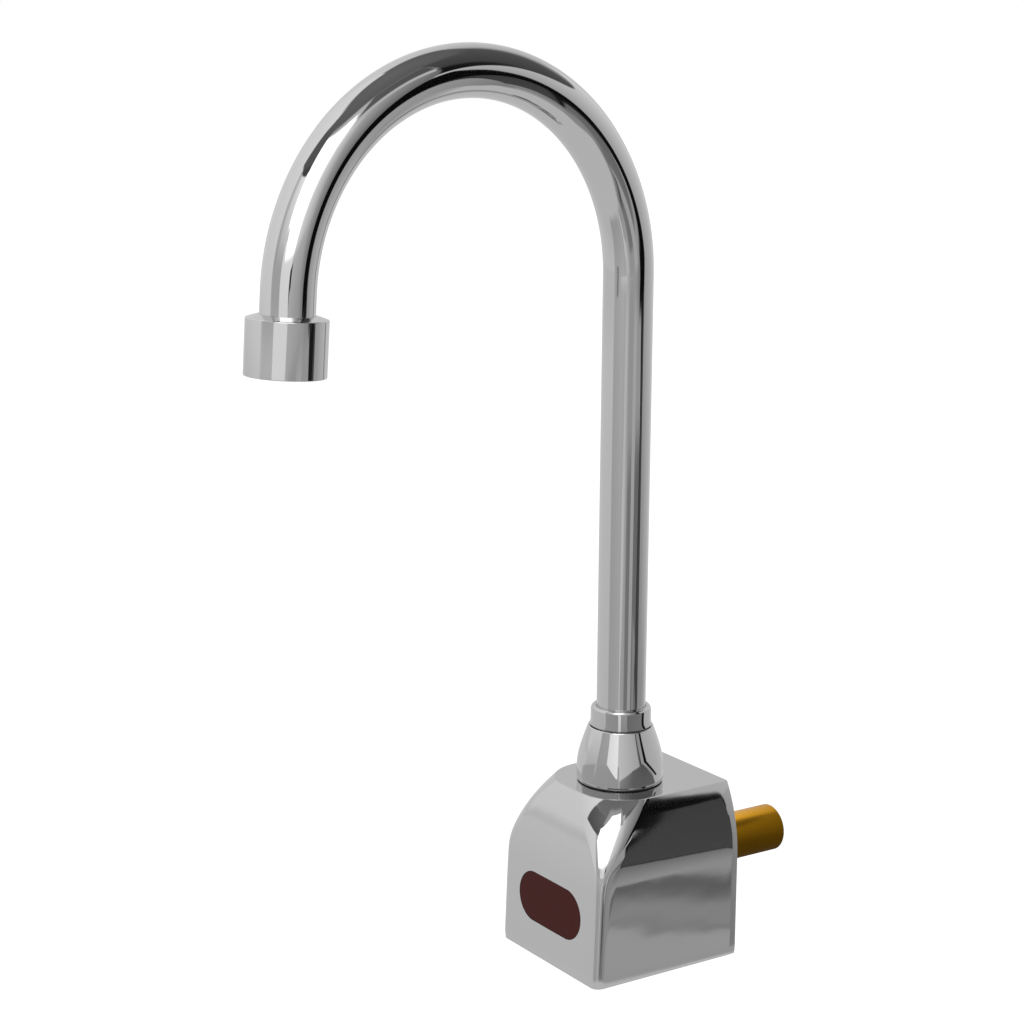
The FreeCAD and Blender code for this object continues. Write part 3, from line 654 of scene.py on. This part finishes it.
finishes = {
    "polished_chrome": polishedChrome(),
    "bare_brass": bareBrass(),
    "maroon_lens": maroonLens(),
    "steel_plate": plainFinish(metal, "zincPlatedSteel", (0.50, 0.51, 0.52), (0.60, 0.60, 0.58), 0.35),
    "steel_screw": plainFinish(metal, "screwSteel", (0.45, 0.45, 0.46), (0.56, 0.56, 0.56), 0.28),
    "spring_steel": plainFinish(metal, "springSteel", (0.42, 0.43, 0.45), (0.52, 0.52, 0.53), 0.3),
    "steel_mesh": plainFinish(metal, "steelMesh", (0.48, 0.48, 0.48), (0.58, 0.58, 0.58), 0.3),
    "black_rubber": plainFinish(plastic, "blackRubber", (0.012, 0.012, 0.012), (0.022, 0.022, 0.022), 0.6),
    "fibre_seal": plainFinish(plastic, "fibreSeal", (0.25, 0.05, 0.03), (0.33, 0.08, 0.05), 0.8),
    "white_plastic": plainFinish(plastic, "whitePlastic", (0.72, 0.72, 0.70), (0.80, 0.80, 0.79), 0.4),
    "regulator_plastic": plainFinish(plastic, "flowPlastic", (0.20, 0.32, 0.36), (0.26, 0.38, 0.42), 0.4),
    "grey_plastic": plainFinish(plastic, "greyPlastic", (0.30, 0.30, 0.30), (0.36, 0.36, 0.36), 0.45),
    "black_plastic": plainFinish(plastic, "blackPlastic", (0.015, 0.015, 0.016), (0.03, 0.03, 0.03), 0.45),
    "circuit_board": plainFinish(plastic, "circuitBoard", (0.01, 0.10, 0.04), (0.02, 0.16, 0.06), 0.4),
    "clear_eye": plainFinish(plastic, "clearEye", (0.55, 0.58, 0.65), (0.65, 0.68, 0.75), 0.1),
    "dark_eye": plainFinish(plastic, "darkEye", (0.01, 0.01, 0.015), (0.02, 0.02, 0.03), 0.1),
    "red_light": plainFinish(plastic, "redLight", (0.45, 0.02, 0.02), (0.55, 0.04, 0.03), 0.15),
}
castChrome = handPolishedChrome()
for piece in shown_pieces():
    slot = piece.get("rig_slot") or next(part["material_slot"] for part in frame["record"]["subparts"]
                                        if part["node"] == piece.name)
    piece.data.materials.clear()
    piece.data.materials.append(castChrome if piece.name == "bodyCasting" else finishes[slot])
print("finishes made")


# ---- camera, at the photo's angle ----

shot = {
    "sensorWidth": 36, "focalLength": 83.14, "place": (0.7090, -0.5589, 0.3356),
    "right": (0.55407, 0.83244, 0.00659), "up": (-0.18278, 0.11393, 0.97653),
    "back": (0.81216, -0.54227, 0.21528),
}
cameraData = bpy.data.cameras.new("productCamera")
cameraData.sensor_width = shot["sensorWidth"]
cameraData.lens = shot["focalLength"]
camera = bpy.data.objects.new("productCamera", cameraData)
camera.matrix_world = (Matrix.Translation(shot["place"])
                       @ Matrix((shot["right"], shot["up"], shot["back"])).transposed().to_4x4())
scene.collection.objects.link(camera)
scene.camera = camera
scene.view_settings.view_transform = "Standard"


# ---- studio: a plain floor, a soft lamp, and light and dark screens that the metal mirrors ----

studio = {
    "floorDrop": 1.36, "floorRadius": 30, "floorSides": 96, "floorGlow": 0.45,
    "floorDark": (0.78, 0.78, 0.78), "floorLight": (0.80, 0.80, 0.80), "surroundings": 0.85,
    "lampPower": 5.0, "lampSize": 0.9, "lampPlace": (0.75, -0.5, 1.0), "lampAim": (0, -0.085, 0.14),
    "screenCells": 48,
}
# Each ball of screens has its middle at what mirrors it. A screen's row gives the azimuth and elevation of
# its low left, low right, high right and high left corner, the brightness at these corners, and over how
# many degrees its left, right, low and high edge fades. One number stands for four alike. Each screen hangs
# in front of the one before.
roomBall = {   # the far walls, ceiling and dark room, which everything mirrors
    "middle": (0, -0.085, 0.14), "radius": 1.3, "step": 0.003,
    "screens": {
        "room": ((-180, -90, 180, -90, 180, 90, -180, 90), 0.71, 0),
        "ceiling": ((-180, 58, 180, 58, 180, 90, -180, 90), (0.15, 0.15, 0.2, 0.2), (0, 0, 5, 0)),
        "leftWall": ((-182, -4, -92, -4, -96, 72, -182, 74), (0.86, 0.9, 1.12, 1.06), (0, 10, 6, 5)),
        "backWall": ((110, -18, 182, -18, 182, 72, 132, 62), (0.68, 0.72, 1, 0.74), (14, 0, 8, 8)),
        "topTone": ((134, 3, 160, 3, 160, 23, 134, 23), 0.7, 3),
        "leftLow": ((-182, -32, -95, -32, -95, -3, -182, -3), (0.72, 0.64, 0.8, 0.8), (0, 12, 6, 4)),
        "frontLow": ((-104, -36, -54, -36, -54, 1, -104, 1), (0.46, 0.46, 0.66, 0.54), (8, 4, 6, 3)),
        "warmLow": ((-58, -34, -24, -34, -24, 10, -58, 10), (0.5, 0.4, 0.66, 0.66), (5, 5, 6, 3)),
        "frontWall": ((-102, 0, -58, 0, -58, 47, -102, 47), (0.54, 0.54, 0.62, 0.58), (4, 2, 3, 1)),
        "frontWallTop": ((-91, 10, -60, 10, -60, 47, -91, 47), (0.6, 0.7, 1.42, 1.02), (3, 2, 14, 1)),
        "frontPost": ((-100, 10, -91, 10, -90, 46, -97, 46), (0.48, 0.48, 0.8, 0.8), (2, 2, 6, 2)),
        "hood": ((-112, 46, -60, 45, -60, 66, -106, 66), (0.13, 0.13, 0.14, 0.14), (6, 2, 1, 5)),
        "hoodLip": ((-98, 45, -68, 44, -68, 50, -98, 49), (0.08, 0.05, 0.08, 0.1), (5, 1, 0.5, 3)),
        "streak": ((-47, -33, -41, -33, -41, -9, -48, -9), (0.92, 0.84, 0.84, 0.8), (1.5, 3, 5, 4)),
        "rightWall": ((40, -22, 122, -24, 122, 36, 40, 24), (0.36, 0.72, 1, 0.66), (1, 10, 6, 1)),
        "middleLow": ((-30, -36, 32, -36, 32, 8, -30, 8), (0.44, 0.4, 0.5, 0.46), (6, 2, 6, 3)),
        "middleDark": ((-27, -34, 38, -34, 38, -7, -27, -9), (0.26, 0.22, 0.19, 0.28), (7, 1, 6, 3)),
        "rightLow": ((34, -38, 100, -38, 100, -15, 34, -15), (0.5, 0.62, 0.55, 0.2), (2, 12, 5, 4)),
        "lightPatch": ((-9, -29, 9, -29, 12, -2, -6, -2), (0.48, 0.48, 0.6, 0.6), 3),
        "hook": ((-19, -29, 5, -28, 5, -24.5, -19, -23), (0.12, 0.1, 0.14, 0.16), (4, 3, 1.5, 1)),
        "frontPatch": ((-47, -22, -33, -18, -30, -2, -44, -2), (0.8, 0.7, 0.72, 0.72), (3, 4, 4, 3)),
        "topRight": ((-4, 44, 36, 41, 36, 64, -4, 64), (0.16, 0.12, 0.13, 0.16), (3, 1, 4, 5)),
        "darkRoom": ((36, 22, 112, 33, 136, 66, 34, 66), (0.05, 0.16, 0.13, 0.1), (0.5, 30, 0.8, 5)),
        "darkRoomCore": ((35, 22.5, 58, 28.5, 54, 38, 35, 44), (0.004, 0.03, 0.05, 0.004), (0.5, 10, 0.6, 8)),
        "postFoot": ((43, -28, 54, -26, 47, 0, 25, 2), (0.05, 0.06, 0.004, 0.004), (2.5, 2, 3, 1)),
    },
}
tapBall = {   # softbox, post and wall, seen in the arch and the riser
    "middle": (0, -0.085, 0.14), "radius": 0.66, "step": 0.0015,
    "screens": {
        "warmWall": ((-36, 0, 8, 0, 8, 18, -36, 18), (0.6, 0.44, 0.6, 0.74), (5, 1, 2, 3)),
        "glowWall": ((-34, 14, 8, 14, 8, 46, -12, 46), (1.1, 0.58, 0.58, 1.2), (3, 1, 5, 2)),
        "middleWall": ((4, -1, 35, -1, 34, 43, 4, 45), (0.46, 0.16, 0.25, 0.6), (4, 0.5, 2, 2)),
        "softboxFoot": ((-68.5, 0, -36, 0, -28, 20, -66, 26), (1.02, 1, 1.15, 1.08), (1.5, 2, 2, 3)),
        "softboxSkirt": ((-60, 16, -28, 15, -10, 42, -64, 30), (2, 2, 2.2, 2.2), (4, 4, 3, 2)),
        "softbox": ((-68.5, 26, -13, 38, -12, 57, -67, 60), 2.6, (2.5, 4, 4, 2)),
        "softboxEnd": ((-20, 36, -9, 42, -6, 50, -18, 57), (2.2, 1.4, 1.4, 2.4), (3, 2, 3, 2)),
        "darkSpot": ((-37, 4, -29, 7, -27, 14.5, -35, 13), (0.06, 0.02, 0.05, 0.05), 1.2),
        "postLow": ((20, -1, 47, -1, 42.5, 17, 31, 17), 0.004, (1.5, 1, 1.5, 0)),
        "postHigh": ((31, 16.5, 42.5, 16.5, 38, 27, 33.3, 25), 0.004, (0.6, 1, 0, 1)),
    },
}
bodyBall = {   # seen in the casting's right side
    "middle": (0, -0.035, 0), "radius": 0.52, "step": 0.0035,
    "screens": {
        "sideLow": ((9, -32, 54, -32, 54, -8, 9, -3), (0.4, 0.38, 0.3, 0.36), (4, 3, 6, 0.6)),
        "sideBand": ((20, -20.9, 56, -18.4, 56, -9, 20, -6), (0.44, 0.44, 0.19, 0.18), (4, 3, 0.15, 1)),
        "sideFoot": ((20, -33, 56, -33, 56, -22.7, 20, -22.7), (0.44, 0.46, 0.5, 0.47), (4, 3, 3, 0.2)),
        "sideLine": ((24, -22.3, 56, -20.8, 56, -18.4, 24, -20.6),
                     (0.34, 0.32, 0.13, 0.05), (3, 3, 1.2, 0.05)),
        "sideStreak": ((26, -23, 52, -23, 52, -22.5, 26, -22.3), (0.28, 0.24, 0.24, 0.28), (4, 4, 0.2, 0.2)),
        "sideFrame": ((45, -28, 68, -28, 64, 22, 40.5, 22), (0.26, 0.36, 0.6, 0.5), (1, 6, 4, 1)),
        "panelEdge": ((25.2, -7.4, 44.6, -13.2, 40.3, 21.2, 34.2, 21.4), 0.008, (0.4, 0.6, 0.3, 0.4)),
        "panel": ((26.7, -7.2, 44.2, -12.6, 39.9, 20.6, 35.2, 20.6),
                  (0.085, 0.085, 0.07, 0.075), (0.8, 0.5, 0.3, 0.6)),
    },
}
# painted reflection: glowing sheets wrapped about a centimetre round the casting's front corner put the white
# highlight and the dark patches on that corner
cornerPaintedReflection = {   # seen in the casting's front corner
    "middle": (0.018, -0.05, 0.012), "radius": 0.03005, "step": 0.00005,
    "screens": {
        "cornerTop": ((-112, 64, 44, 64, 44, 87, -112, 87), (0.24, 0.24, 0.2, 0.2), (4, 10, 2, 6)),
        "cornerDark": ((-118, 44, -80, 43, -58, 67, -112, 67), (0.11, 0.12, 0.24, 0.14), (2, 1, 1, 2)),
        "cornerHalo": ((-72, 58, -8, 56, -8, 76, -58, 76), (0.5, 0.5, 0.46, 0.46), (4, 3, 0, 5)),
        "cornerFoot": ((-68, 10, -47, 10, -38, 38, -80, 38), (1.6, 1.4, 2.6, 2.6), (3, 3, 3, 0)),
        "cornerGlow": ((-80, 37, -38, 37, -21, 53, -75, 53), 2.6, (1.5, 3, 0, 0)),
        "cornerHead": ((-75, 52, -19, 52, -14, 70, -46, 69), 2.6, (1.5, 2, 0, 1.5)),
    },
}
# painted reflection: glowing sheets wrapped a few millimetres round the bell nut put its bright wedge
# highlight and its dark bands on it
nutPaintedReflection = {   # seen in the bell nut
    "middle": (0, -0.034, 0.045), "radius": 0.0214, "step": 0.00001,
    "screens": {
        "nutEdge": ((-106.5, -27, -74.5, -27, -74.5, 41, -106.5, 41), (0.5, 0.5, 0.92, 0.92), (8, 4, 0, 3)),
        "nutLeft": ((-78.5, -27, -58.5, -27, -58.5, 41, -78.5, 41), (0.5, 0.46, 0.6, 0.5), (2.5, 0.3, 0, 3)),
        "nutMiddle": ((-43.5, -27, -3.5, -27, -3.5, 41, -43.5, 41),
                      (0.84, 0.56, 0.56, 0.84), (0.3, 0.3, 0, 3)),
        "nutRight": ((3.5, -27, 73.5, -27, 73.5, 41, 3.5, 41), (0.58, 0.72, 0.8, 0.56), (0.3, 6, 0, 3)),
        "nutSide": ((-112, -27, -80, -27, -80, 2, -112, -8), (0.5, 0.48, 0.48, 0.5), (6, 0, 0, 3)),
        "nutFront": ((-86, -27, -38, -27, -38, 1.5, -72, 2), (0.47, 0.455, 0.46, 0.48), (3, 0, 0, 1)),
        "nutWedge": ((-42.5, -16, -39.5, -16, -39.5, 3, -59, 3), (1.22, 1.22, 1.26, 1.1), (0.8, 1, 0.3, 0)),
        "nutWedgeTop": ((-59, 2.5, -39.5, 2.5, -39.5, 41, -59, 41), (1.1, 1.28, 1.3, 1.12), (0.8, 1, 0.3, 3)),
        "hillLeft": ((-38.5, -27, -16.5, -27, -16.5, -4.5, -38.5, -18),
                     (0.34, 0.17, 0.2, 0.42), (3, 0, 0, 3)),
        "hillMiddle": ((-17.5, -27, 4.5, -27, 3.5, 3, -17.5, -5), (0.17, 0.17, 0.12, 0.19), (1, 0, 0, 1.5)),
        "hillRight": ((2.5, -27, 27.5, -27, 21.5, -15, 3.5, 3), (0.17, 0.17, 0.17, 0.12), (0, 1, 0, 0.6)),
        "lightGap": ((0.5, 2.5, 7.5, 2.5, 6.5, 41, -4.5, 41), (0.46, 0.5, 0.42, 0.36), (0.5, 0.5, 1, 3)),
        "lightLine": ((19.5, -16, 24.5, -16, 9.5, 3, 4.5, 3), (0.36, 0.4, 0.5, 0.5), (1, 0.3, 1.5, 0)),
        "thinLine": ((-3, 0, 2, 0, -2.5, 41, -6, 41), (0.1, 0.1, 0.15, 0.15), (1.2, 1.2, 1, 3)),
        "darkLine": ((28.5, -19, 34.5, -19, 13, 4, 6.5, 4), (0.03, 0.03, 0.006, 0.006), (0.8, 0.8, 2, 0)),
        "darkLineTop": ((6.2, 3, 12.8, 3, 9.4, 41, 4, 41), 0.006, (0.8, 0.8, 0, 3)),
    },
}
# painted reflection: glowing sheets less than a millimetre from the swivel sleeve put its light streaks, grey
# bands and dark line on it
collarPaintedReflection = {   # seen in the swivel sleeve
    "middle": (0, -0.034, 0.06145), "radius": 0.01304, "step": 0.00001,
    "screens": {
        "collarLeft": ((-150, -18, -68, -18, -68, 14, -150, 14), (0.74, 0.66, 0.68, 0.74), (10, 0.6, 0, 2)),
        "collarMiddle": ((-68.5, -18, -41, -18, -41, 14, -68.5, 14),
                         (0.44, 0.41, 0.41, 0.44), (0.6, 0.6, 0, 2)),
        "collarRight": ((-24, -18, 12, -18, 12, 14, -24, 14), (0.22, 0.27, 0.26, 0.22), (1, 0, 0, 2)),
        "collarEdge": ((17, -18, 84, -18, 84, 14, 17, 14), (0.58, 0.76, 0.8, 0.62), (1, 10, 0, 2)),
        "collarGlow": ((-37, -18, -23, -18, -23, 14, -37, 14), (0.38, 0.38, 0.46, 0.46), (1, 0.8, 0, 2)),
        "collarStreak": ((-42, -18, -35.5, -18, -35.5, 14, -42, 14), (0.85, 0.85, 1, 1), (1, 1, 0, 2)),
        "collarLine": ((10.5, -18, 19, -18, 19, 14, 10.5, 14), 0.01, (1.5, 1.5, 0, 2)),
    },
}
# painted light and shade: glowing sheets wrapped round the shank make it bright on top and dark underneath
brassPaintedLightAndShade = {   # seen in the shank
    "middle": (0, 0.028, 0), "radius": 0.0304, "step": 0.0002,
    "screens": {
        "brassTop": ((75, -10, 178, -10, 178, 89, 75, 89), (0.05, 0.6, 1.5, 1.2), (6, 0, 8, 0)),
        "brassMiddle": ((-80, -20, 80, -20, 80, 50, -80, 50), (0.06, 0.06, 0.28, 0.28), (6, 0, 0, 0)),
        "brassLow": ((-80, -89, 175, -89, 175, -8, -80, -8), (0.06, 0.06, 0.08, 0.08), (6, 6, 0, 8)),
    },
}


def fourOf(value):
    return value if isinstance(value, tuple) else (value,) * 4


def hang(name, middle, radius, corners, tones, fades):
    # one screen, bent to its ball, with its brightness and its cover kept in its mesh
    bm = bmesh.new()
    bmesh.ops.create_grid(bm, x_segments=studio["screenCells"], y_segments=studio["screenCells"], size=0.5)
    lowLeft, lowRight, highRight, highLeft = (Vector((*corners[2 * i:2 * i + 2], tone))
                                              for i, tone in enumerate(fourOf(tones)))
    tone = bm.verts.layers.float.new("tone")
    cover = bm.verts.layers.float.new("cover")
    for v in bm.verts:
        across, up = v.co.x + 0.5, v.co.y + 0.5
        low, high = lowLeft.lerp(lowRight, across), highLeft.lerp(highRight, across)
        azimuth, elevation, v[tone] = low.lerp(high, up)
        wide = (lowRight.lerp(highRight, up) - lowLeft.lerp(highLeft, up)).to_2d().length
        tall = (high - low).to_2d().length
        inwards = (across * wide, (1 - across) * wide, up * tall, (1 - up) * tall)
        share = 1.0
        for distance, fade in zip(inwards, fourOf(fades)):
            share *= min(distance / fade, 1) if fade > 0 else 1
        v[cover] = share * share * (3 - 2 * share)
        a, e = azimuth * deg, elevation * deg
        outwards = Vector((math.cos(a) * math.cos(e), math.sin(a) * math.cos(e), math.sin(e)))
        v.co = Vector(middle) + radius * outwards
    mesh = bpy.data.meshes.new(name)
    bm.to_mesh(mesh)
    bm.free()
    mesh.shade_smooth()
    mesh.materials.append(screenFinish)
    screen = bpy.data.objects.new(name, mesh)
    scene.collection.objects.link(screen)
    screen.visible_camera = False
    screen.visible_diffuse = False
    screen.visible_shadow = False
    screen.visible_transmission = False


def makeScreenFinish():
    # glows where it covers, is clear elsewhere, and is clear from outside its ball
    f = Finish("studioScreen")
    brightness = f.node("ShaderNodeAttribute", {"attribute_name": "tone"}, out=2)
    glow = f.node("ShaderNodeEmission", {}, {"Strength": brightness})
    clear = f.node("ShaderNodeBsdfTransparent")
    inside = f.node("ShaderNodeNewGeometry", out="Backfacing")
    share = f.node("ShaderNodeAttribute", {"attribute_name": "cover"}, out=2) * inside
    shader = f.node("ShaderNodeMixShader", {}, {0: share, 1: clear, 2: glow})
    f.node("ShaderNodeOutputMaterial", {}, {"Surface": shader})
    return f.material


def seenStraight(f):
    # 1 where the camera, a mirror or a clear piece looks at the background
    rays = [f.node("ShaderNodeLightPath", out=ray)
            for ray in ("Is Camera Ray", "Is Glossy Ray", "Is Transmission Ray")]
    return f.node("ShaderNodeMath", {"operation": "MINIMUM"}, {0: rays[0] + rays[1] + rays[2], 1: 1.0})


def makeFloor():
    bm = bmesh.new()
    bmesh.ops.create_circle(bm, cap_ends=True, segments=studio["floorSides"], radius=studio["floorRadius"])
    bmesh.ops.translate(bm, verts=bm.verts, vec=(0, 0, bodyLow.z - studio["floorDrop"]))
    mesh = bpy.data.meshes.new("studioFloor")
    bm.to_mesh(mesh)
    bm.free()
    floor = bpy.data.objects.new("studioFloor", mesh)
    scene.collection.objects.link(floor)
    f = Finish("paleFloor")
    paint = f.node("ShaderNodeBsdfDiffuse", {},
                   {"Color": f.between(f.noise(3), studio["floorDark"], studio["floorLight"])})
    glow = f.node("ShaderNodeEmission", {}, {"Strength": seenStraight(f) * studio["floorGlow"]})
    both = f.node("ShaderNodeAddShader", {}, {0: paint, 1: glow})
    f.node("ShaderNodeOutputMaterial", {}, {"Surface": both})
    mesh.materials.append(f.material)


def lightStudio():
    world = bpy.data.worlds.new("studio")
    scene.world = world
    world.use_nodes = True
    f = Finish("studio", world.node_tree)
    strength = studio["surroundings"] + seenStraight(f) * (1 - studio["surroundings"])
    background = f.node("ShaderNodeBackground", {}, {"Color": (1, 1, 1, 1), "Strength": strength})
    f.node("ShaderNodeOutputWorld", {}, {"Surface": background})
    lampData = bpy.data.lights.new("softLamp", "AREA")
    lampData.energy = studio["lampPower"]
    lampData.size = studio["lampSize"]
    lamp = bpy.data.objects.new("softLamp", lampData)
    place = Vector(studio["lampPlace"])
    lamp.matrix_world = (Matrix.Translation(place)
                         @ (place - Vector(studio["lampAim"])).to_track_quat("Z", "Y").to_matrix().to_4x4())
    lamp.visible_glossy = False
    scene.collection.objects.link(lamp)


screenFinish = makeScreenFinish()
for ball in (roomBall, tapBall, bodyBall, cornerPaintedReflection, nutPaintedReflection, collarPaintedReflection, brassPaintedLightAndShade):
    for layer, (name, row) in enumerate(ball["screens"].items()):
        hang(name, ball["middle"], ball["radius"] - layer * ball["step"], *row)
makeFloor()
lightStudio()
print("studio lit")
